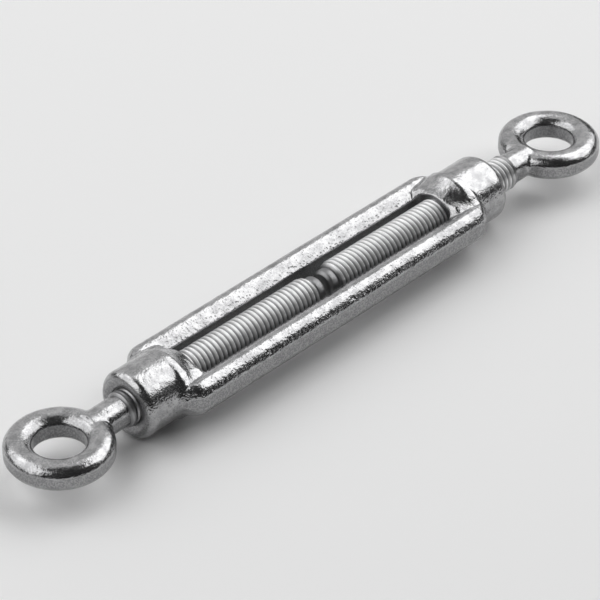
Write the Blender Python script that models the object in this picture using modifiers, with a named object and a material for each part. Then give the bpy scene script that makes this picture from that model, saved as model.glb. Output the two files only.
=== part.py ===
"""Open-body rigging turnbuckle, M8 by 110, with a forged eye bolt in each end.

The screw axis is X, the two rails of the body lie apart along Y, and both eyes lie flat in the XY
plane. The origin is on the screw axis, midway between the centres of the two eyes. The right-hand
thread is at +X and the left-hand thread at -X. Each bolt is two nodes: the eye bolt itself, which
turns, and the plain point at the end of its rod, which carries the travel along the screw axis.
"""

import math

import bmesh
import bpy

NAME = "rigging_turnbuckle"

# Screw
THREAD_RADIUS = 0.003975
RUNNING_GAP = 0.0003

# Forged body, with its places along X counted from the body's own middle
BODY_LENGTH = 0.110
BODY_MIDDLE_X = -0.00225
COLLAR_RADIUS = 0.0076
COLLAR_FLAT_Y = 0.0075
COLLAR_EDGE_ROUND = 0.0019
COLLAR_EDGE_STEPS = 4
COLLAR_INNER_X = 0.0433
NECK_OUTER_X = 0.0412
NECK_RADIUS = 0.0057
NECK_END_RADIUS = 0.0052
BORE_RADIUS = 0.0043
COUNTERSINK_RADIUS = 0.0050
COUNTERSINK_DEPTH = 0.0009

# Rails of the body
SLOT_HALF_LENGTH = 0.0387
SLOT_HALF_WIDTH = 0.00525
SLOT_CORNER_RADIUS = 0.0017
WEB_INNER_Y = SLOT_HALF_WIDTH - SLOT_CORNER_RADIUS
RAIL_OUTER_Y = 0.01115
RAIL_HALF_HEIGHT = 0.0040
BAND_HALF_HEIGHT = 0.0017
SHOULDER_START_X = 0.0425
SHOULDER_END_X = 0.0476
SHOULDER_END_Y = 0.0071
RAIL_END_X = 0.0485
CROWN_STEPS = 6
CORNER_STEPS = 4
SHOULDER_STEPS = 6

# Eye bolts, with lengths counted from the centre of the eye along the bolt
EYE_CENTRE_X = 0.07515
EYE_RING_RADIUS = 0.00839
EYE_HALF_THICKNESS = 0.0030
EYE_SECTION_RADIUS = 0.0034
EYE_TRIM = 0.00296
SHANK_ROOT = 0.0078
SHANK_ROOT_RADIUS = 0.0024
SHANK_FLARE_START = 0.0105
SHANK_FLARE_END = 0.0128
SHANK_FLARE = 0.00045
SHANK_FLARE_STEPS = 3
SHANK_RADIUS = 0.00355
THREAD_START = 0.0153
THREAD_RUNOUT = 0.0006
BOLT_LENGTH = 0.0744
POINT_LENGTH = 0.0025
POINT_RADIUS = 0.0031
POINT_CHAMFER = 0.0006
RING_STEPS = 44
TURN_STEPS = 32
COLLAR_STEPS = 40

ZINC = (0.62, 0.63, 0.65)
THREAD_ZINC = (0.55, 0.56, 0.58)


def clear_scene():
    for obj in list(bpy.data.objects):
        bpy.data.objects.remove(obj, do_unlink=True)


def new_collection(name, helper=False):
    collection = bpy.data.collections.new(name)
    bpy.context.scene.collection.children.link(collection)
    collection.hide_render = helper
    return collection


def zinc_plate(name, colour, roughness):
    material = bpy.data.materials.new(name)
    material.use_nodes = True
    shader = material.node_tree.nodes["Principled BSDF"]
    shader.inputs["Base Color"].default_value = (*colour, 1.0)
    shader.inputs["Metallic"].default_value = 1.0
    shader.inputs["Roughness"].default_value = roughness
    return material


def add_object(name, mesh, collection, helper=False):
    obj = bpy.data.objects.new(name, mesh)
    collection.objects.link(obj)
    if helper:
        obj.hide_render = True
        obj.display_type = "WIRE"
    return obj


def mesh_from(name, points, edges, faces):
    mesh = bpy.data.meshes.new(name)
    mesh.from_pydata(points, edges, faces)
    return mesh


def outward(mesh):
    shape = bmesh.new()
    shape.from_mesh(mesh)
    bmesh.ops.recalc_face_normals(shape, faces=shape.faces)
    shape.to_mesh(mesh)
    shape.free()


def turned(name, profile, steps, collection, helper=False):
    """A solid turned about local Z. The profile is (radius, height) pairs from the top down."""
    points = [(radius, 0.0, height) for radius, height in profile]
    edges = [(i, i + 1) for i in range(len(points) - 1)]
    obj = add_object(name, mesh_from(name, points, edges, []), collection, helper)
    screw = obj.modifiers.new("turn", "SCREW")
    screw.axis = "Z"
    screw.steps = steps
    screw.render_steps = steps
    screw.use_merge_vertices = True
    screw.merge_threshold = 0.000001
    return obj


def point_along_x(obj, x, sign):
    """Stands a turned solid's local Z along +X or -X, starting at x."""
    obj.location = (x, 0.0, 0.0)
    obj.rotation_euler = (0.0, sign * math.pi / 2, 0.0)


def combine(obj, operation, other):
    boolean = obj.modifiers.new(operation.lower() + "_" + other.name, "BOOLEAN")
    boolean.operation = operation
    boolean.solver = "EXACT"
    boolean.object = other


def smooth_step(value):
    value = min(max(value, 0.0), 1.0)
    return value * value * (3.0 - 2.0 * value)


def blend(start, end, share):
    return start + (end - start) * share


# ---------------------------------------------------------------- body


def rail_stations():
    """Places along the rail from the body's middle outwards, closer together where the outline turns."""
    corner_start = SLOT_HALF_LENGTH - SLOT_CORNER_RADIUS
    places = []
    for i in range(CORNER_STEPS + 1):
        angle = math.pi / 2 * i / CORNER_STEPS
        places.append(corner_start + SLOT_CORNER_RADIUS * math.sin(angle))
    for i in range(SHOULDER_STEPS + 1):
        places.append(blend(SHOULDER_START_X, SHOULDER_END_X, i / SHOULDER_STEPS))
    places.append(RAIL_END_X)
    return places


def rail_inner_y(x):
    past = abs(x) - (SLOT_HALF_LENGTH - SLOT_CORNER_RADIUS)
    if past <= 0.0:
        return SLOT_HALF_WIDTH
    if past >= SLOT_CORNER_RADIUS:
        return WEB_INNER_Y
    return WEB_INNER_Y + math.sqrt(SLOT_CORNER_RADIUS**2 - past**2)


def rail_section(x):
    """The closed outline of one rail at x: crowned top and bottom, flat inner wall and outer band."""
    share = smooth_step((abs(x) - SHOULDER_START_X) / (SHOULDER_END_X - SHOULDER_START_X))
    inner = rail_inner_y(x)
    outer = blend(RAIL_OUTER_Y, SHOULDER_END_Y, share)
    upper = []
    for i in range(CROWN_STEPS + 1):
        angle = math.pi * i / CROWN_STEPS
        across = (1.0 - math.cos(angle)) / 2.0
        height = blend(BAND_HALF_HEIGHT, RAIL_HALF_HEIGHT, math.sin(angle))
        upper.append((blend(inner, outer, across), height))
    lower = [(y, -z) for y, z in reversed(upper)]
    return upper + lower


def make_rail(name, side, collection, helper=False):
    outward_places = rail_stations()
    places = [-x for x in reversed(outward_places)] + outward_places
    points = []
    for x in places:
        points += [(x, side * y, z) for y, z in rail_section(x)]
    count = len(points) // len(places)
    faces = [tuple(range(count)), tuple(range(len(points) - count, len(points)))]
    for station in range(len(places) - 1):
        for i in range(count):
            start = station * count
            after = (i + 1) % count
            faces.append((start + i, start + after, start + count + after, start + count + i))
    mesh = mesh_from(name, points, [], faces)
    outward(mesh)
    return add_object(name, mesh, collection, helper)


def collar_profile():
    """The collar, from its rounded outer end down to the neck that ends at the slot."""
    top = BODY_LENGTH / 2
    profile = [(0.0, top)]
    for i in range(COLLAR_EDGE_STEPS + 1):
        angle = math.pi / 2 * i / COLLAR_EDGE_STEPS
        radius = COLLAR_RADIUS - COLLAR_EDGE_ROUND * (1.0 - math.sin(angle))
        height = top - COLLAR_EDGE_ROUND * (1.0 - math.cos(angle))
        profile.append((radius, height))
    profile.append((COLLAR_RADIUS, COLLAR_INNER_X))
    profile.append((NECK_RADIUS, NECK_OUTER_X))
    profile.append((NECK_END_RADIUS, SLOT_HALF_LENGTH))
    profile.append((0.0, SLOT_HALF_LENGTH))
    return profile


def bore_profile():
    """The clear bore of both collars in one cutter, flared at each mouth by the countersink."""
    end = BODY_LENGTH / 2
    flare = COUNTERSINK_RADIUS - BORE_RADIUS
    upper = [
        (0.0, end + COUNTERSINK_DEPTH),
        (COUNTERSINK_RADIUS + flare, end + COUNTERSINK_DEPTH),
        (BORE_RADIUS, end - COUNTERSINK_DEPTH),
    ]
    return upper + [(radius, -height) for radius, height in reversed(upper)]


def make_flats_box(collection):
    """The slab between the two trimmed flats on the sides of the collars."""
    shape = bmesh.new()
    bmesh.ops.create_cube(shape, size=1.0)
    size = (BODY_LENGTH * 1.2, 2 * COLLAR_FLAT_Y, 4 * COLLAR_RADIUS)
    bmesh.ops.scale(shape, vec=size, verts=shape.verts)
    mesh = bpy.data.meshes.new("collar_flats")
    shape.to_mesh(mesh)
    shape.free()
    box = add_object("collar_flats", mesh, collection, helper=True)
    box.location = (BODY_MIDDLE_X, 0.0, 0.0)
    return box


def make_body(parts, cutters, material):
    body = make_rail("turnbuckle_body", 1.0, parts)
    body.location = (BODY_MIDDLE_X, 0.0, 0.0)
    other_rail = make_rail("other_rail", -1.0, cutters, helper=True)
    other_rail.location = body.location
    flats = make_flats_box(cutters)
    collars = []
    for side, sign in (("right", 1.0), ("left", -1.0)):
        collar = turned(side + "_collar", collar_profile(), COLLAR_STEPS, cutters, helper=True)
        point_along_x(collar, BODY_MIDDLE_X, sign)
        combine(collar, "INTERSECT", flats)
        collars.append(collar)
    bore = turned("bore", bore_profile(), COLLAR_STEPS, cutters, helper=True)
    point_along_x(bore, BODY_MIDDLE_X, 1.0)
    for solid in (*collars, other_rail):
        combine(body, "UNION", solid)
    combine(body, "DIFFERENCE", bore)
    body.data.materials.append(material)


# ---------------------------------------------------------------- eye bolts


def ring_profile():
    """Section of the eye: an oval bar trimmed flat round its outside and inside the hole."""
    trim = math.acos(EYE_TRIM / EYE_SECTION_RADIUS)
    upper = []
    for i in range(CROWN_STEPS + 1):
        angle = trim + (math.pi - 2 * trim) * i / CROWN_STEPS
        radius = EYE_RING_RADIUS + EYE_SECTION_RADIUS * math.cos(angle)
        upper.append((radius, EYE_HALF_THICKNESS * math.sin(angle)))
    return upper + [(radius, -height) for radius, height in reversed(upper)]


def make_ring(name, collection, helper=False):
    section = ring_profile()
    count = len(section)
    points = []
    for turn in range(RING_STEPS):
        angle = 2 * math.pi * (turn + 0.5) / RING_STEPS
        points += [(r * math.cos(angle), r * math.sin(angle), z) for r, z in section]
    faces = []
    for turn in range(RING_STEPS):
        start = turn * count
        ahead = (turn + 1) % RING_STEPS * count
        for i in range(count):
            after = (i + 1) % count
            faces.append((start + i, start + after, ahead + after, ahead + i))
    mesh = mesh_from(name, points, [], faces)
    outward(mesh)
    return add_object(name, mesh, collection, helper)


def rod_profile():
    """Shank and threaded rod, from the end of the thread down to the root inside the ring."""
    rod_end = BOLT_LENGTH - POINT_LENGTH - RUNNING_GAP
    profile = [
        (0.0, rod_end),
        (POINT_RADIUS, rod_end),
        (THREAD_RADIUS, rod_end - THREAD_RUNOUT),
        (THREAD_RADIUS, THREAD_START + THREAD_RUNOUT),
        (SHANK_RADIUS, THREAD_START),
        (SHANK_RADIUS, SHANK_FLARE_END),
    ]
    for i in range(1, SHANK_FLARE_STEPS + 1):
        share = i / SHANK_FLARE_STEPS
        height = blend(SHANK_FLARE_END, SHANK_FLARE_START, share)
        profile.append((SHANK_RADIUS + SHANK_FLARE * share * share, height))
    profile.append((SHANK_ROOT_RADIUS, SHANK_ROOT))
    profile.append((0.0, SHANK_ROOT))
    return profile


def point_profile():
    """Plain chamfered point at the end of the rod."""
    start = BOLT_LENGTH - POINT_LENGTH
    return [
        (0.0, BOLT_LENGTH),
        (POINT_RADIUS - POINT_CHAMFER, BOLT_LENGTH),
        (POINT_RADIUS, BOLT_LENGTH - POINT_CHAMFER),
        (POINT_RADIUS, start),
        (0.0, start),
    ]


def make_eye_bolt(side, sign, parts, cutters, eye_material, point_material):
    """One bolt whose eye is at sign times X and whose rod points to the middle of the body."""
    centre = sign * EYE_CENTRE_X
    bolt = make_ring(side + "_eye_bolt", parts)
    bolt.location = (centre, 0.0, 0.0)
    rod = turned(side + "_rod", rod_profile(), TURN_STEPS, cutters, helper=True)
    point_along_x(rod, centre, -sign)
    combine(bolt, "UNION", rod)
    bolt.data.materials.append(eye_material)
    point = turned(side + "_rod_point", point_profile(), TURN_STEPS, parts)
    point_along_x(point, centre, -sign)
    point.data.materials.append(point_material)


def main():
    clear_scene()
    parts = new_collection(NAME)
    cutters = new_collection(NAME + "_cutters", helper=True)
    forged = zinc_plate("zinc_forging", ZINC, 0.38)
    bolt_zinc = zinc_plate("zinc_bolt", ZINC, 0.32)
    cut_thread = zinc_plate("zinc_thread", THREAD_ZINC, 0.34)
    make_body(parts, cutters, forged)
    for side, sign in (("right", 1.0), ("left", -1.0)):
        make_eye_bolt(side, sign, parts, cutters, bolt_zinc, cut_thread)
    for obj in parts.objects:
        obj.data.shade_smooth()


main()
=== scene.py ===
"""Looks of the rigging turnbuckle: forged, bright zinc plated, with rolled and tapped threads.

Shapes are worked out in millimetres, with the screw axis along X, and scaled to metres as each mesh
is made. A forging is a solid given by a distance function, negative inside, whose surface is
meshed here, so its fillets, trimmed bands and forged skin are all real geometry.
"""

import math

import bmesh
import bpy
import numpy as np
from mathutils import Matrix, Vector, noise


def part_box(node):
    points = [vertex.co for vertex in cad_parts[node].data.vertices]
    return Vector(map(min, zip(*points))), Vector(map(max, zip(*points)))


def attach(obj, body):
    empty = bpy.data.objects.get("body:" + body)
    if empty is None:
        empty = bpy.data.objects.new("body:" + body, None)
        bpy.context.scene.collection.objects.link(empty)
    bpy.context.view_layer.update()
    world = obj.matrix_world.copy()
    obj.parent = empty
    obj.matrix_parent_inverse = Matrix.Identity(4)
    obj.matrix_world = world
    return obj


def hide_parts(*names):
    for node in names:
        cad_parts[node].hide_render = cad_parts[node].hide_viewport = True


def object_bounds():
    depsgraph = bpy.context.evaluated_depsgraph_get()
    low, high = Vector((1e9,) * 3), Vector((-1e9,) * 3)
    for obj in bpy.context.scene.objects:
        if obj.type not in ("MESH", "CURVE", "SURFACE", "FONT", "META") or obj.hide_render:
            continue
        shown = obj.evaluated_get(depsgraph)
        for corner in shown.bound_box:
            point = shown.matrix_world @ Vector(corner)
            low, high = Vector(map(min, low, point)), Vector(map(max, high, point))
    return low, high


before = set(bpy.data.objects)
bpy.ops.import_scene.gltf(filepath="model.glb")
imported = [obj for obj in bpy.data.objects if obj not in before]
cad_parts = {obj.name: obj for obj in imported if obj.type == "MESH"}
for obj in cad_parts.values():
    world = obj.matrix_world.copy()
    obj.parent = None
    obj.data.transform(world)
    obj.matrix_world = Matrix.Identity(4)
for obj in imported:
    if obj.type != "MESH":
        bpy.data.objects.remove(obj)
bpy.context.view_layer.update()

MM = 0.001

# Camera
CAMERA_AZIMUTH = math.radians(-46.59)
CAMERA_ELEVATION = math.radians(36.01)
CAMERA_DISTANCE = 0.703
CAMERA_LENS = 199.9
CAMERA_RIGHT = -0.0041
CAMERA_UP = -0.0028

# Sizes read from the frame, in millimetres, and places worked out from them
BODY_LOW, BODY_HIGH = (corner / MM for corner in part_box("turnbuckle_body"))
EYE_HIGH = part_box("right_eye_bolt")[1] / MM
POINT_LOW, POINT_HIGH = (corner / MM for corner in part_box("right_rod_point"))
BODY_MIDDLE_X = (BODY_LOW.x + BODY_HIGH.x) / 2
BODY_HALF_LENGTH = (BODY_HIGH.x - BODY_LOW.x) / 2
COLLAR_RADIUS = BODY_HIGH.z
RAIL_OUTER_Y = BODY_HIGH.y
EYE_OUTER_RADIUS = EYE_HIGH.y
EYE_CENTRE_X = EYE_HIGH.x - EYE_OUTER_RADIUS
POINT_TIP_X = POINT_LOW.x
POINT_ROOT_X = POINT_HIGH.x

# Collars and neck, with places along X counted from the body's middle
COLLAR_FLAT_Y = COLLAR_RADIUS - 0.1
COLLAR_EDGE_ROUND = 1.9
COLLAR_INNER_X = 43.3
NECK_FOOT_X = 40.9
NECK_FOOT_RADIUS = 5.75
NECK_TAPER = 0.3
NECK_OVERLAP = 0.5
BORE_RADIUS = 4.15
COUNTERSINK_RADIUS = 4.75
DISH_RADIUS = 5.7
DISH_SLOPE = 0.3

# Rails
SLOT_HALF_LENGTH = 38.7
SLOT_HALF_WIDTH = 5.25
SLOT_CORNER = 1.5
RAIL_HALF_HEIGHT = 4.0
RAIL_BAND = 1.75
RAIL_INNER_EDGE_Z = 2.15
RAIL_INNER_TILT = math.radians(39)
DRAFT = math.radians(31)
RAIL_FADE = 1.6
RAIL_FADE_START = 44.2
RAIL_FADE_END = 49.8
SHOULDER_FOOT_X = 47.4
SHOULDER_SLOPE = 0.87

# Webs between the neck and the rails, whose fillet grows along X and fades out along Y
RAIL_FILLET = 0.8
WEB_FILLET = 5.6
WEB_START_X, WEB_END_X = SLOT_HALF_LENGTH - 2.0, SLOT_HALF_LENGTH + 1.0
WEB_INNER_Y, WEB_OUTER_Y = 5.2, 8.8

# Roundings of the body's edges
RAIL_TOP_EDGE = 0.8
RAIL_DRAFT_EDGE = 1.4
COLLAR_FILLET = 1.1
COLLAR_STEP_EDGE = 0.25
SHOULDER_TOP_EDGE = 1.1
SHOULDER_FOOT_EDGE = 0.3
TRIMMED_EDGE = 0.16
PUNCHED_EDGE = 0.2
BORE_EDGE = 0.12
COUNTERSINK_EDGE = 0.1
DISH_EDGE = 0.08

# Eyes, with places counted from the centre of the eye towards the body
EYE_HALF_THICKNESS = 3.0
RING_RADIUS = 8.39
RING_SECTION = 3.4
RING_BAND = 1.3
RING_DRAFT_EDGE = 0.3
SHANK_RADIUS = 3.55
SHANK_ROOT_RADIUS = 3.4
SHANK_GROWTH = 4.5
SHANK_OVERLAP = 0.6
SHANK_FLAT = 3.3
SHANK_FILLET = 0.5
SHANK_ENDS = {"left": 16.6, "right": 15.1}
SHANK_END_STRETCH = 1.0
SHANK_END_ROUND = 0.3
SHANK_END_EDGE = 0.05
OUTLINE_FILLET = 1.4

# Forged skin, which fades out just below the forging's surface and at the faced ends
SKIN_DEPTHS = (-0.2, -0.05)
FACED_DEPTHS = (0.04, 0.5)
# The two heights below are where the scaled, pitted skin of the sides fades out; that share also paints
# shade on the sides.
BODY_SCALE_AND_SHADE_Z = (2.3, 5.0)
EYE_SCALE_AND_SHADE_Z = (1.2, 2.8)
SLOW_WAVES = 0.33
FINE_WAVES = 1.15
PIT_WAVES = 0.8
PIT_SHIFT = Vector((7.0, 3.0, 1.0))
PIT_LEVEL = 0.28
CLEAN_PITS = 0.3
SLOW_HEIGHT = 0.03
FINE_HEIGHT = 0.02
SKIN_SINK = 0.05
TRIMMED_SLOW_HEIGHT = 0.015
TRIMMED_SINK = 0.02
BODY_PITTING = 0.16
EYE_PITTING = 0.06
BODY_SEED = (3.1, 5.7, 9.2)

# Meshing
BODY_SPACING = (0.34, 0.25, 0.25)
EYE_SPACING = (0.24, 0.24, 0.24)
MESH_MARGIN = 0.8
EYE_MARGIN_Z = 1.3
SMOOTHING_ROUNDS = 3
SLOPE_REACH = 0.01
NORMAL_REACH = 0.05
LONGEST_STEP = 0.3
WELD = 2e-8

# Thread
PITCH = 1.25
MAJOR_RADIUS = 3.975
THREAD_DEPTH = 0.65
FLANK = (0.07, 0.43)
TAP_CLEARANCE = 0.07
TAP_DEPTH = THREAD_DEPTH - 0.1
TAP_RUN_OUT = 0.8
TAP_WALL = 0.1
TAP_INNER_GAP = 0.15
TAP_OUTER_GAP = 0.75
THREAD_FADES = {"left": 3.6, "right": 1.3}
ROLLED_FADE = (0.4, 1.6)
SHANK_STEP = 0.12
SHANK_STEP_LENGTH = 0.5
ROD_OVERLAP = 0.25
CHAMFER_SLOPE = 0.9
CHAMFER_RADIUS = MAJOR_RADIUS - THREAD_DEPTH - 0.1
TURN_STEPS = 48
PROFILE_STEPS = 10
SPARE_PITCHES = 2

# Zinc, with the sizes of its grain and mottle
FORGED_GRAIN = 0.33
FORGED_MOTTLE = 2.4
THREAD_GRAIN = 0.35
THREAD_MOTTLE = 1.8
DARK_ZINC = (0.26, 0.26, 0.265)
BRIGHT_ZINC = (0.55, 0.55, 0.555)
# The thread crests' colour, far brighter than the forged zinc: a painted highlight.
CREST_ZINC_AND_PAINTED_HIGHLIGHT = (0.92, 0.92, 0.925)

# Lights: name, azimuth and elevation in degrees, then distance, width and height in metres, then radiance
SOFTBOXES = [
    ("right_softbox", 345.0, 44.0, 1.1, 1.25, 0.9, 2.1),
    ("left_softbox", 143.0, 42.0, 1.1, 1.6, 1.15, 1.5),
    ("back_softbox", 62.0, 40.0, 1.5, 1.9, 2.45, 0.6),
]

# Floor and world, in metres
WORLD_GREY = 0.04
FLOOR_GREY = 0.93
FLOOR_ROUGHNESS = 0.7
FLOOR_HALF_SIZE = 3.0
FLOOR_CELLS = 8
FLOOR_GAP = 0.0002


# ---------------------------------------------------------------- distance functions


def smooth_max(a, b, radius):
    share = np.clip(0.5 + 0.5 * (a - b) / radius, 0.0, 1.0)
    return b + (a - b) * share + radius * share * (1.0 - share)


def smooth_min(a, b, radius):
    return -smooth_max(-a, -b, radius)


def ramp(value, low, high):
    share = np.clip((value - low) / (high - low), 0.0, 1.0)
    return share * share * (3.0 - 2.0 * share)


def rounded_corner(a, b, radius):
    """Distance outside the quadrant a < 0, b < 0, with its corner rounded."""
    a, b = a + radius, b + radius
    outside = np.hypot(np.maximum(a, 0.0), np.maximum(b, 0.0))
    return outside + np.minimum(np.maximum(a, b), 0.0) - radius


def ellipse(u, v, half_u, half_v):
    near = np.hypot(u / half_u, v / half_v)
    steep = np.hypot(u / half_u**2, v / half_v**2)
    return near * (near - 1.0) / np.maximum(steep, 1e-6)


def drafted(forging, outside, z, half_height, radius):
    """Cuts a forging back to drafted sides that meet the parting line's band at one crisp angle."""
    plane = outside * math.cos(DRAFT) + (np.abs(z) - half_height) * math.sin(DRAFT)
    return smooth_max(forging, plane, radius)


def band_y(x):
    """How far out the trimmed parting line runs: along a rail, down its shoulder, along the collar."""
    slope = COLLAR_FLAT_Y + (SHOULDER_FOOT_X - x) * SHOULDER_SLOPE
    return smooth_max(
        smooth_min(RAIL_OUTER_Y, slope, SHOULDER_TOP_EDGE), COLLAR_FLAT_Y, SHOULDER_FOOT_EDGE
    )


def body_forging(p):
    """The body as it leaves the dies: both collars with their necks, and both rails, untrimmed."""
    x, y, z = np.abs(p[:, 0] - BODY_MIDDLE_X), np.abs(p[:, 1]), np.abs(p[:, 2])
    r = np.hypot(y, z)
    drop = COLLAR_RADIUS - NECK_FOOT_RADIUS
    run = COLLAR_INNER_X - NECK_FOOT_X
    step = (drop * (COLLAR_INNER_X - x) + run * (r - COLLAR_RADIUS)) / math.hypot(drop, run)
    collar = rounded_corner(x - BODY_HALF_LENGTH, r - COLLAR_RADIUS, COLLAR_EDGE_ROUND)
    collar = smooth_max(collar, step, COLLAR_STEP_EDGE)
    neck = r - (NECK_FOOT_RADIUS + (x - NECK_FOOT_X) * NECK_TAPER)
    past_ends = np.maximum(x - COLLAR_INNER_X - NECK_OVERLAP, SLOT_HALF_LENGTH - NECK_OVERLAP - x)
    neck = np.maximum(neck, past_ends)
    inwards = (SLOT_HALF_WIDTH - y) * math.sin(RAIL_INNER_TILT)
    inwards = inwards + (z - RAIL_INNER_EDGE_Z) * math.cos(RAIL_INNER_TILT)
    rail = smooth_max(z - RAIL_HALF_HEIGHT, inwards, RAIL_TOP_EDGE)
    rail = drafted(rail, y - band_y(x), z, RAIL_BAND, RAIL_DRAFT_EDGE)
    rail = np.maximum(rail + RAIL_FADE * ramp(x, RAIL_FADE_START, RAIL_FADE_END), x - RAIL_FADE_END)
    inside = ramp(x, WEB_START_X, WEB_END_X) * (1.0 - ramp(y, WEB_INNER_Y, WEB_OUTER_Y))
    web = smooth_min(neck, rail, RAIL_FILLET + WEB_FILLET * inside)
    return smooth_min(collar, web, COLLAR_FILLET)


def body_solid(p):
    """The finished body: flash trimmed from the parting line and the slot, collars bored."""
    x, y, z = np.abs(p[:, 0] - BODY_MIDDLE_X), np.abs(p[:, 1]), np.abs(p[:, 2])
    r = np.hypot(y, z)
    slot = rounded_corner(x - SLOT_HALF_LENGTH, y - SLOT_HALF_WIDTH, SLOT_CORNER)
    solid = smooth_max(body_forging(p), y - band_y(x), TRIMMED_EDGE)
    solid = smooth_max(solid, -slot, PUNCHED_EDGE)
    solid = smooth_max(solid, BORE_RADIUS - r, BORE_EDGE)
    flare = (COUNTERSINK_RADIUS + (x - BODY_HALF_LENGTH) - r) * math.sqrt(0.5)
    dish = (x - BODY_HALF_LENGTH) + (DISH_RADIUS - r) * DISH_SLOPE
    return smooth_max(smooth_max(solid, flare, COUNTERSINK_EDGE), dish, DISH_EDGE)


def body_skin(p):
    """1 on forged skin, 0 on trimmed, bored and faced surfaces."""
    x = np.abs(p[:, 0] - BODY_MIDDLE_X)
    return ramp(body_forging(p), *SKIN_DEPTHS) * ramp(BODY_HALF_LENGTH - x, *FACED_DEPTHS)


def eye_forging(q):
    """One eye with its shank as forged, the eye's centre at the origin and the rod towards +X."""
    x, y, z = q[:, 0], q[:, 1], q[:, 2]
    ring = ellipse(np.hypot(x, y) - RING_RADIUS, z, RING_SECTION, EYE_HALF_THICKNESS)
    ring = drafted(ring, np.hypot(x, y) - EYE_OUTER_RADIUS, z, RING_BAND, RING_DRAFT_EDGE)
    grown = ramp(x, RING_RADIUS, RING_RADIUS + SHANK_GROWTH)
    shank = np.hypot(y, z) - SHANK_ROOT_RADIUS
    shank = shank - (SHANK_RADIUS - SHANK_ROOT_RADIUS) * grown
    shank = np.maximum(shank, RING_RADIUS - SHANK_OVERLAP - x)
    return smooth_min(ring, shank, SHANK_FILLET)


def eye_outline(q):
    """Plan distance outside the trimmed outline of eye and shank."""
    x, y = q[:, 0], np.abs(q[:, 1])
    disc = np.hypot(x, y) - EYE_OUTER_RADIUS
    strip = np.maximum(y - SHANK_FLAT, RING_RADIUS - x)
    return smooth_min(disc, strip, OUTLINE_FILLET)


def eye_hole(q):
    return 2 * RING_RADIUS - EYE_OUTER_RADIUS - np.hypot(q[:, 0], q[:, 1])


def eye_solid(q, shank_end):
    """The finished eye: flash trimmed from the parting line and the hole, shank cut square."""
    solid = smooth_max(eye_forging(q), eye_outline(q), TRIMMED_EDGE)
    solid = smooth_max(solid, eye_hole(q), PUNCHED_EDGE)
    r = np.hypot(q[:, 1], q[:, 2])
    end = rounded_corner(q[:, 0] - shank_end, r - SHANK_RADIUS, SHANK_END_ROUND)
    at_end = q[:, 0] > shank_end - SHANK_END_STRETCH
    return smooth_max(solid, np.where(at_end, end, -1.0), SHANK_END_EDGE)


def eye_skin(q):
    return ramp(eye_forging(q), *SKIN_DEPTHS)


# ---------------------------------------------------------------- meshing


CORNERS = [(i, j, k) for i in (0, 1) for j in (0, 1) for k in (0, 1)]
CELL_EDGES = [
    (a, b) for a in CORNERS for b in CORNERS if sum(b) == sum(a) + 1 and min(np.subtract(b, a)) >= 0
]


def surface_net(distance, low, high, spacing):
    """Points and quads of the surface where distance is zero, one point for each cell it crosses."""
    counts = [int(math.ceil((high[i] - low[i]) / spacing[i])) for i in range(3)]
    axes = [low[i] + spacing[i] * np.arange(counts[i] + 1) for i in range(3)]
    grid = np.stack(np.meshgrid(*axes, indexing="ij"), axis=-1)
    value = distance(grid.reshape(-1, 3)).reshape(grid.shape[:3])
    inside = value < 0.0

    def corner(array, at):
        ends = [slice(at[i], array.shape[i] - 1 + at[i]) for i in range(3)]
        return array[tuple(ends)]

    total = sum(corner(inside, at).astype(int) for at in CORNERS)
    crossed = (total > 0) & (total < 8)
    number = np.full(crossed.shape, -1)
    number[crossed] = np.arange(crossed.sum())
    points = np.zeros((crossed.sum(), 3))
    weight = np.zeros(crossed.sum())
    for a, b in CELL_EDGES:
        start, end = corner(value, a)[crossed], corner(value, b)[crossed]
        cut = (start < 0.0) != (end < 0.0)
        share = start[cut] / (start[cut] - end[cut])
        here, there = corner(grid, a)[crossed][cut], corner(grid, b)[crossed][cut]
        points[cut] += here + (there - here) * share[:, None]
        weight[cut] += 1.0
    points /= weight[:, None]
    quads = []
    for axis in range(3):
        side_a, side_b = (axis + 1) % 3, (axis + 2) % 3
        ahead = [slice(None)] * 3
        ahead[axis] = slice(1, None)
        back = [slice(None)] * 3
        back[axis] = slice(None, -1)
        first, second = inside[tuple(back)], inside[tuple(ahead)]
        spots = np.argwhere(first != second)
        spots = spots[(spots[:, side_a] > 0) & (spots[:, side_b] > 0)]
        around = []
        for step_a, step_b in ((1, 1), (0, 1), (0, 0), (1, 0)):
            cell = spots.copy()
            cell[:, side_a] -= step_a
            cell[:, side_b] -= step_b
            around.append(number[tuple(cell.T)])
        around = np.stack(around, axis=1)
        leaving = first[tuple(spots.T)]
        around[~leaving] = around[~leaving][:, ::-1]
        quads.append(around)
    return points, np.concatenate(quads)


def slope_of(distance, points, reach):
    columns = []
    for axis in range(3):
        offset = np.zeros(3)
        offset[axis] = reach
        columns.append((distance(points + offset) - distance(points - offset)) / (2 * reach))
    return np.stack(columns, axis=1)


def settle(distance, points, quads):
    """Evens out the points and puts them back on the surface, then returns them with their normals."""
    edges = np.concatenate([quads[:, [i, (i + 1) % 4]] for i in range(4)])
    degree = np.bincount(edges.ravel(), minlength=len(points))[:, None]
    for turn in range(SMOOTHING_ROUNDS + 2):
        if turn < SMOOTHING_ROUNDS:
            total = np.zeros_like(points)
            for axis in range(3):
                total[:, axis] = np.bincount(
                    edges.ravel(), points[edges[:, ::-1].ravel(), axis], minlength=len(points)
                )
            points = points + 0.5 * (total / degree - points)
        for _ in range(2):
            slope = slope_of(distance, points, SLOPE_REACH)
            steep = np.maximum((slope**2).sum(axis=1), 0.05)
            step = (distance(points) / steep)[:, None] * slope
            points = points - np.clip(step, -LONGEST_STEP, LONGEST_STEP)
    slope = slope_of(distance, points, NORMAL_REACH)
    return points, slope / np.maximum(np.linalg.norm(slope, axis=1), 1e-6)[:, None]


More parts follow.
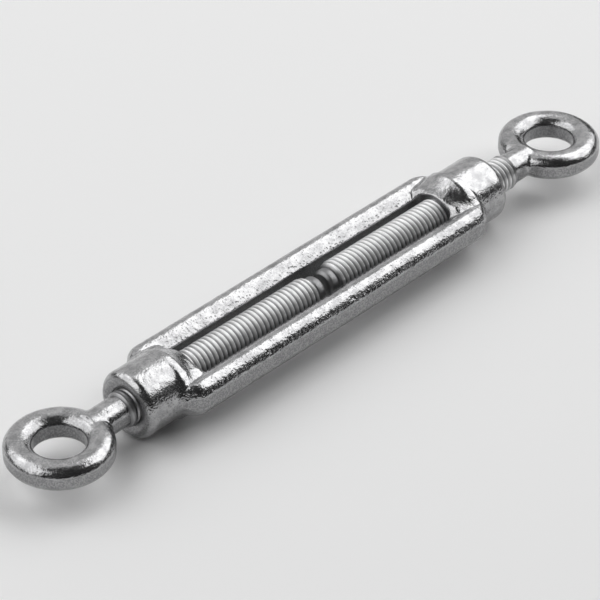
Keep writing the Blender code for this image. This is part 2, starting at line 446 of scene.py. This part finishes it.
def forged_relief(points, skin, scale_and_side_shade, seed, pitting):
    """Height of the forged skin: a slow unevenness, a fine grain and pits where scale has come away."""
    heights = np.zeros(len(points))
    for i, (place, share, scaled_and_side_shaded) in enumerate(zip(points.tolist(), skin.tolist(), scale_and_side_shade.tolist())):
        at = Vector(place) + seed
        slow = noise.noise(at * SLOW_WAVES)
        fine = noise.noise(at * FINE_WAVES)
        pit = min(0.0, noise.noise(at * PIT_WAVES + PIT_SHIFT) + PIT_LEVEL)
        pitted = pitting * pit * (CLEAN_PITS + (1.0 - CLEAN_PITS) * scaled_and_side_shaded)
        forged = SLOW_HEIGHT * slow + FINE_HEIGHT * fine + pitted - SKIN_SINK
        trimmed = TRIMMED_SLOW_HEIGHT * slow - TRIMMED_SINK
        heights[i] = forged * share + trimmed * (1.0 - share)
    return heights


def forged_mesh(name, distance, skin_of, low, high, spacing, seed, pitting, scale_and_shade_z, place=None):
    """A forging as a smooth-shaded mesh, with its shares of forged skin and of scale kept on its points.

    The skin is scaled beside the parting line and smooth higher up, fading between the two heights given;
    the same share darkens the colour of the sides in the material, as painted shade.
    """
    points, quads = surface_net(distance, low, high, spacing)
    points, normals = settle(distance, points, quads)
    skin = skin_of(points)
    # Share of scaled skin, high on the sides beside the parting line; the material also uses it to paint
    # shade on the sides.
    scale_and_side_shade = skin * (1.0 - ramp(np.abs(points[:, 2]), *scale_and_shade_z))
    points = points + normals * forged_relief(points, skin, scale_and_side_shade, Vector(seed), pitting)[:, None]
    if place is not None:
        points = place(points)
    mesh = bpy.data.meshes.new(name)
    mesh.from_pydata((points * MM).tolist(), [], quads.tolist())
    mark(mesh, "skin", skin)
    mark(mesh, "scale_and_side_shade", scale_and_side_shade)
    return finished(name, mesh)


def mark(mesh, name, values):
    attribute = mesh.attributes.new(name, "FLOAT", "POINT")
    attribute.data.foreach_set("value", np.asarray(values, np.float32))


def finished(name, mesh):
    """Welds what coincides, turns every face outwards, shades smooth and links the object."""
    shape = bmesh.new()
    shape.from_mesh(mesh)
    bmesh.ops.remove_doubles(shape, verts=shape.verts, dist=1e-7)
    bmesh.ops.recalc_face_normals(shape, faces=shape.faces)
    shape.to_mesh(mesh)
    shape.free()
    mesh.shade_smooth()
    obj = bpy.data.objects.new(name, mesh)
    bpy.context.scene.collection.objects.link(obj)
    return obj


def on_circle(x, radius, turn):
    """The point at a share of a turn round the screw axis."""
    angle = 2 * math.pi * turn
    return (x, -radius * math.sin(angle), radius * math.cos(angle))


def thread_depth(phase):
    """Depth below the crest, from 0 to 1, at a phase counted in pitches from the crest."""
    away = abs((phase + 0.5) % 1.0 - 0.5)
    return float(ramp(away, *FLANK))


def helix_wall(low, high, hand, radius_at):
    """Grid of a threaded wall between two places along X, closed round the axis along the helix.

    radius_at(x, depth) gives the wall's radius. It must not depend on depth at either end, where the
    rows beyond the wall fold onto its rim.
    """
    rows = (math.ceil((high - low) / PITCH) + 2 * SPARE_PITCHES) * PROFILE_STEPS
    first = math.floor(low / PITCH) - SPARE_PITCHES
    points = []
    for row in range(rows):
        for column in range(TURN_STEPS):
            turn = column / TURN_STEPS
            phase = first + row / PROFILE_STEPS
            x = min(max((phase + hand * turn) * PITCH, low), high)
            points.append(on_circle(x, radius_at(x, thread_depth(phase)), turn))
    faces = []
    for row in range(rows - 1):
        for column in range(TURN_STEPS):
            across = column + 1
            shift = 0
            if across == TURN_STEPS:
                across = 0
                shift = hand * PROFILE_STEPS
            if not 0 <= row + shift < rows - 1:
                continue
            here = row * TURN_STEPS + column
            there = (row + shift) * TURN_STEPS + across
            faces.append((here, here + TURN_STEPS, there + TURN_STEPS, there))
    return points, faces


def turned(profile, first=0):
    """Points and faces of a profile of (x, radius) turned round the screw axis, numbered from first."""
    points = []
    for x, radius in profile:
        points += [on_circle(x, radius, column / TURN_STEPS) for column in range(TURN_STEPS)]
    faces = []
    for ring in range(len(profile) - 1):
        here = first + ring * TURN_STEPS
        there = here + TURN_STEPS
        for column in range(TURN_STEPS):
            across = (column + 1) % TURN_STEPS
            faces.append((here + column, here + across, there + across, there + column))
    return points, faces


def welded(name, points, faces):
    """A mesh from points and faces, welded, with any open rim capped."""
    shape = bmesh.new()
    verts = [shape.verts.new(Vector(point) * MM) for point in points]
    for face in faces:
        shape.faces.new([verts[i] for i in face])
    bmesh.ops.remove_doubles(shape, verts=shape.verts, dist=WELD)
    bmesh.ops.dissolve_degenerate(shape, dist=WELD, edges=shape.edges)
    rims = [edge for edge in shape.edges if edge.is_boundary]
    bmesh.ops.holes_fill(shape, edges=rims, sides=0)
    mesh = bpy.data.meshes.new(name)
    shape.to_mesh(mesh)
    shape.free()
    return mesh


def rolled_thread(name, low, high, hand, tip_side, fade):
    """The threaded rod: rolled crests, a run-out at the shank and a chamfer at the tip."""

    def shank_distance(x):
        return high - x if tip_side < 0 else x - low

    def radius_at(x, depth):
        from_tip = x - low if tip_side < 0 else high - x
        from_shank = shank_distance(x)
        grown = float(ramp(from_shank, 0.0, fade))
        radius = MAJOR_RADIUS - THREAD_DEPTH * depth * grown
        stepped = 1.0 - float(ramp(from_shank, 0.0, SHANK_STEP_LENGTH))
        radius = radius + (SHANK_RADIUS - SHANK_STEP - radius) * stepped
        return min(radius, CHAMFER_RADIUS + from_tip * CHAMFER_SLOPE)

    mesh = welded(name, *helix_wall(low, high, hand, radius_at))
    starts, ends = (share * fade for share in ROLLED_FADE)
    places = [shank_distance(vert.co.x / MM) for vert in mesh.vertices]
    # The rolled share is also used in thread_zinc to darken the plain run-out, as painted shade.
    mark(mesh, "rolled", [ramp(place, starts, ends) for place in places])
    return finished(name, mesh)


def tapped_thread(name, low, high, hand):
    """The tapped wall of one collar, a sleeve whose inside carries the thread."""
    open_radius = MAJOR_RADIUS + TAP_CLEARANCE
    outer_radius = BORE_RADIUS + TAP_WALL

    def radius_at(x, depth):
        grown = float(ramp(min(x - low, high - x), 0.0, TAP_RUN_OUT))
        return open_radius - TAP_DEPTH * depth * grown

    points, faces = helix_wall(low, high, hand, radius_at)
    rings = [(low, open_radius), (low, outer_radius), (high, outer_radius), (high, open_radius)]
    outside, outside_faces = turned(rings, len(points))
    return finished(name, welded(name, points + outside, faces + outside_faces))


def turned_point(name, root, tip):
    """The plain point of a rod, turned from root to tip along X, with a groove behind it."""
    toward = 1.0 if tip > root else -1.0
    profile = [
        (root - toward * 0.45, 2.75),
        (root + toward * 0.15, 2.85),
        (root + toward * 0.35, 3.08),
        (root + toward * 0.5, 3.12),
        (tip - toward * 0.75, 3.12),
        (tip - toward * 0.55, 3.05),
        (tip - toward * 0.08, 2.6),
        (tip, 2.45),
        (tip - toward * 0.04, 1.2),
    ]
    return finished(name, welded(name, *turned(profile)))


# ---------------------------------------------------------------- materials


class Nodes:
    """Short names for building one material's node tree."""

    def __init__(self, name):
        self.material = bpy.data.materials.new(name)
        self.material.use_nodes = True
        self.tree = self.material.node_tree
        self.shader = self.tree.nodes["Principled BSDF"]
        self.place = self.add("ShaderNodeTexCoord").outputs["Object"]

    def add(self, kind, **settings):
        node = self.tree.nodes.new(kind)
        for key, value in settings.items():
            setattr(node, key, value)
        return node

    def link(self, source, target):
        self.tree.links.new(source, target)

    def noise(self, size_mm, detail, roughness=0.55):
        node = self.add("ShaderNodeTexNoise")
        node.inputs["Scale"].default_value = 1.0 / (size_mm * MM)
        node.inputs["Detail"].default_value = detail
        node.inputs["Roughness"].default_value = roughness
        self.link(self.place, node.inputs["Vector"])
        return node.outputs["Fac"]

    def pits(self, size_mm):
        node = self.add("ShaderNodeTexVoronoi", feature="SMOOTH_F1")
        node.inputs["Scale"].default_value = 1.0 / (size_mm * MM)
        node.inputs["Randomness"].default_value = 1.0
        self.link(self.place, node.inputs["Vector"])
        return node.outputs["Distance"]

    def attribute(self, name):
        return self.add("ShaderNodeAttribute", attribute_name=name).outputs["Fac"]

    def math(self, operation, a, b):
        node = self.add("ShaderNodeMath", operation=operation)
        for socket, value in zip(node.inputs, (a, b)):
            if isinstance(value, (int, float)):
                socket.default_value = value
            else:
                self.link(value, socket)
        return node.outputs[0]

    def spread(self, value, low, high, to_low, to_high):
        node = self.add("ShaderNodeMapRange", interpolation_type="SMOOTHSTEP")
        names = ("From Min", "From Max", "To Min", "To Max")
        for name, number in zip(names, (low, high, to_low, to_high)):
            node.inputs[name].default_value = number
        self.link(value, node.inputs["Value"])
        return node.outputs["Result"]

    def mix(self, share, low, high):
        node = self.add("ShaderNodeMix", data_type="FLOAT")
        self.link(share, node.inputs["Factor"])
        for socket, value in ((node.inputs["A"], low), (node.inputs["B"], high)):
            if isinstance(value, (int, float)):
                socket.default_value = value
            else:
                self.link(value, socket)
        return node.outputs["Result"]

    def tint(self, value, dark, light):
        node = self.add("ShaderNodeMix", data_type="RGBA")
        self.link(value, node.inputs["Factor"])
        node.inputs["A"].default_value = (*dark, 1.0)
        node.inputs["B"].default_value = (*light, 1.0)
        return node.outputs["Result"]

    def bump(self, height, strength, distance_mm, normal=None):
        node = self.add("ShaderNodeBump")
        node.inputs["Distance"].default_value = distance_mm * MM
        if isinstance(strength, (int, float)):
            node.inputs["Strength"].default_value = strength
        else:
            self.link(strength, node.inputs["Strength"])
        self.link(height, node.inputs["Height"])
        if normal is not None:
            self.link(normal, node.inputs["Normal"])
        return node.outputs["Normal"]

    def finish(self, colour, roughness, normal):
        self.shader.inputs["Metallic"].default_value = 1.0
        self.link(colour, self.shader.inputs["Base Color"])
        self.link(roughness, self.shader.inputs["Roughness"])
        self.link(normal, self.shader.inputs["Normal"])
        return self.material


def forged_zinc(name, scale_size, relief, grain_height):
    """Bright zinc plate over forged skin, and duller, smoother plate on trimmed surfaces, whose darker
    colour is partly real and partly painted shade.

    Where the scale share is high, on the sides beside the parting line, the skin is pitted, and its
    colour is darkened there: painted shade on the sides, with darker pits.
    """
    nodes = Nodes(name)
    skin = nodes.attribute("skin")
    scaled_and_side_shaded = nodes.attribute("scale_and_side_shade")
    lumps = nodes.noise(scale_size, 2.0, 0.55)
    grain = nodes.noise(FORGED_GRAIN, 2.0)
    mottle = nodes.noise(FORGED_MOTTLE, 3.0)
    pits = nodes.spread(nodes.pits(scale_size), 0.05, 0.4, 0.0, 1.0)
    rough = nodes.mix(scaled_and_side_shaded, nodes.mix(skin, 0.05, 0.4 * relief), relief)
    normal = nodes.bump(lumps, rough, 0.16 * scale_size)
    dents = nodes.mix(scaled_and_side_shaded, nodes.mix(skin, 0.0, 0.3 * relief), relief)
    normal = nodes.bump(pits, dents, 0.07 * scale_size, normal)
    normal = nodes.bump(grain, nodes.mix(skin, 0.6, 1.0), grain_height, normal)
    blotch = nodes.math("ADD", mottle, nodes.math("MULTIPLY", grain, 0.6))
    shade = nodes.spread(blotch, 0.6, 1.0, 0.3, 1.0)
    # Painted shade: where the scale share is high, on the sides, the colour is darkened to three
    # quarters, and to a fifth in the pits.
    shade = nodes.math("MULTIPLY", shade, nodes.mix(scaled_and_side_shaded, 1.0, nodes.mix(pits, 0.2, 0.75)))
    # Trimmed bands and faced ends: darker plate, partly the real duller plating and partly painted shade
    # for the dark surroundings these upright faces reflect.
    trimmed = nodes.spread(grain, 0.4, 0.6, -0.2, 0.5)
    value = nodes.mix(skin, trimmed, shade)
    colour = nodes.tint(value, DARK_ZINC, BRIGHT_ZINC)
    roughness = nodes.mix(skin, 0.34, nodes.spread(grain, 0.3, 0.7, 0.14, 0.27))
    return nodes.finish(colour, roughness, normal)


def thread_zinc(name):
    """Zinc plate on a thread, painted with light and shade: painted shade darkens the roots and the plain
    run-out beside the shank, and a painted highlight makes the crests brighter than the forged zinc.
    """
    nodes = Nodes(name)
    grain = nodes.noise(THREAD_GRAIN, 3.0)
    mottle = nodes.noise(THREAD_MOTTLE, 2.0)
    flat = nodes.add("ShaderNodeVectorMath", operation="MULTIPLY")
    flat.inputs[1].default_value = (0.0, 1.0, 1.0)
    nodes.link(nodes.place, flat.inputs[0])
    length = nodes.add("ShaderNodeVectorMath", operation="LENGTH")
    nodes.link(flat.outputs["Vector"], length.inputs[0])
    # Painted shade: the colour darkens with radius from crest down to root, where shade falls in the
    # grooves.
    root, crest = (MAJOR_RADIUS - THREAD_DEPTH) * MM, (MAJOR_RADIUS - 0.1) * MM
    height = nodes.spread(length.outputs["Value"], root, crest, 0.1, 1.0)
    value = nodes.math("MULTIPLY", height, nodes.spread(mottle, 0.3, 0.7, 0.85, 1.0))
    # Painted shade: the plain run-out beside the shank, where the rolled share is low, is darkened to a
    # quarter.
    value = nodes.math("MULTIPLY", value, nodes.mix(nodes.attribute("rolled"), 0.25, 1.0))
    colour = nodes.tint(value, DARK_ZINC, CREST_ZINC_AND_PAINTED_HIGHLIGHT)
    roughness = nodes.spread(grain, 0.3, 0.7, 0.34, 0.5)
    normal = nodes.bump(grain, 0.3, 0.05)
    return nodes.finish(colour, roughness, normal)


def floor_material():
    material = bpy.data.materials.new("pale_floor")
    material.use_nodes = True
    shader = material.node_tree.nodes["Principled BSDF"]
    shader.inputs["Base Color"].default_value = (FLOOR_GREY, FLOOR_GREY, FLOOR_GREY, 1.0)
    shader.inputs["Roughness"].default_value = FLOOR_ROUGHNESS
    return material


# ---------------------------------------------------------------- the object


def dress(obj, material, body):
    obj.data.materials.clear()
    obj.data.materials.append(material)
    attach(obj, body)


def make_body(forged, threads):
    """The body with both bores tapped, each collar's thread of its own hand."""
    low = tuple(value - MESH_MARGIN for value in BODY_LOW)
    high = tuple(value + MESH_MARGIN for value in BODY_HIGH)
    skin_settings = (BODY_SEED, BODY_PITTING, BODY_SCALE_AND_SHADE_Z)
    body = forged_mesh("body_forging", body_solid, body_skin, low, high, BODY_SPACING, *skin_settings)
    dress(body, forged, "turnbuckle_body")
    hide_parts("turnbuckle_body")
    for side, sign in (("right", 1), ("left", -1)):
        inner = BODY_MIDDLE_X + sign * (SLOT_HALF_LENGTH + TAP_INNER_GAP)
        outer = BODY_MIDDLE_X + sign * (BODY_HALF_LENGTH - TAP_OUTER_GAP)
        tapped = tapped_thread(side + "_tapped_thread", min(inner, outer), max(inner, outer), sign)
        dress(tapped, threads, "turnbuckle_body")


def make_bolt(side, sign, forged, threads):
    """One eye bolt with its eye at sign times X: forged eye and shank, rolled thread and plain point."""
    shank_end = SHANK_ENDS[side]
    reach = EYE_OUTER_RADIUS + MESH_MARGIN
    low = (-reach, -reach, -EYE_HALF_THICKNESS - EYE_MARGIN_Z)
    high = (shank_end + MESH_MARGIN, reach, EYE_HALF_THICKNESS + EYE_MARGIN_Z)

    def solid(points):
        return eye_solid(points, shank_end)

    def place(points):
        return points * (-sign, 1.0, 1.0) + (sign * EYE_CENTRE_X, 0.0, 0.0)

    skin_settings = ((11.0 * sign, 2.3, 4.4), EYE_PITTING, EYE_SCALE_AND_SHADE_Z)
    name = side + "_eye_forging"
    eye = forged_mesh(name, solid, eye_skin, low, high, EYE_SPACING, *skin_settings, place)
    dress(eye, forged, side + "_eye")
    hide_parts(side + "_eye_bolt")
    start = sign * (EYE_CENTRE_X - shank_end + ROD_OVERLAP)
    end = sign * POINT_ROOT_X
    name = side + "_rolled_thread"
    rod = rolled_thread(name, min(start, end), max(start, end), sign, -sign, THREAD_FADES[side])
    dress(rod, threads, side + "_eye")
    point = turned_point(side + "_rod_end", sign * POINT_ROOT_X, sign * POINT_TIP_X)
    dress(point, threads, side + "_travel")
    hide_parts(side + "_rod_point")


# ---------------------------------------------------------------- stage


def view_axes():
    a, e = CAMERA_AZIMUTH, CAMERA_ELEVATION
    back = Vector((math.sin(a) * math.cos(e), -math.cos(a) * math.cos(e), math.sin(e)))
    right = Vector((math.cos(a), math.sin(a), 0.0))
    return right, back.cross(right), back


def make_camera():
    right, up, back = view_axes()
    data = bpy.data.cameras.new("camera")
    data.lens = CAMERA_LENS
    camera = bpy.data.objects.new("camera", data)
    bpy.context.scene.collection.objects.link(camera)
    camera.location = back * CAMERA_DISTANCE + right * CAMERA_RIGHT + up * CAMERA_UP
    camera.rotation_mode = "QUATERNION"
    camera.rotation_quaternion = (-back).to_track_quat("-Z", "Y")
    bpy.context.scene.camera = camera


def softbox(name, azimuth, elevation, distance, width, height, radiance):
    """A rectangular light facing the object, from a direction counted from +X towards +Y, in degrees."""
    a, e = math.radians(azimuth), math.radians(elevation)
    towards = Vector((math.cos(a) * math.cos(e), math.sin(a) * math.cos(e), math.sin(e)))
    data = bpy.data.lights.new(name, "AREA")
    data.shape = "RECTANGLE"
    data.size = width
    data.size_y = height
    data.energy = radiance * math.pi * width * height
    light = bpy.data.objects.new(name, data)
    bpy.context.scene.collection.objects.link(light)
    light.location = towards * distance
    light.rotation_mode = "QUATERNION"
    light.rotation_quaternion = towards.to_track_quat("Z", "Y")


def make_floor():
    shape = bmesh.new()
    bmesh.ops.create_grid(shape, x_segments=FLOOR_CELLS, y_segments=FLOOR_CELLS, size=FLOOR_HALF_SIZE)
    mesh = bpy.data.meshes.new("floor")
    shape.to_mesh(mesh)
    shape.free()
    floor = bpy.data.objects.new("floor", mesh)
    bpy.context.scene.collection.objects.link(floor)
    floor.location = (0.0, 0.0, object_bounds()[0].z - FLOOR_GAP)
    mesh.materials.append(floor_material())


def make_lights():
    world = bpy.data.worlds.new("studio")
    world.use_nodes = True
    background = world.node_tree.nodes["Background"]
    background.inputs["Color"].default_value = (WORLD_GREY, WORLD_GREY, WORLD_GREY, 1.0)
    bpy.context.scene.world = world
    bpy.context.scene.view_settings.view_transform = "Standard"
    for name, *settings in SOFTBOXES:
        softbox(name, *settings)


def main():
    make_camera()
    body_zinc = forged_zinc("forged_zinc_body", scale_size=0.75, relief=1.0, grain_height=0.035)
    bolt_zinc = forged_zinc("forged_zinc_bolt", scale_size=0.5, relief=0.7, grain_height=0.03)
    threads = thread_zinc("thread_zinc")
    make_body(body_zinc, threads)
    for side, sign in (("right", 1), ("left", -1)):
        make_bolt(side, sign, bolt_zinc, threads)
    make_floor()
    make_lights()


main()
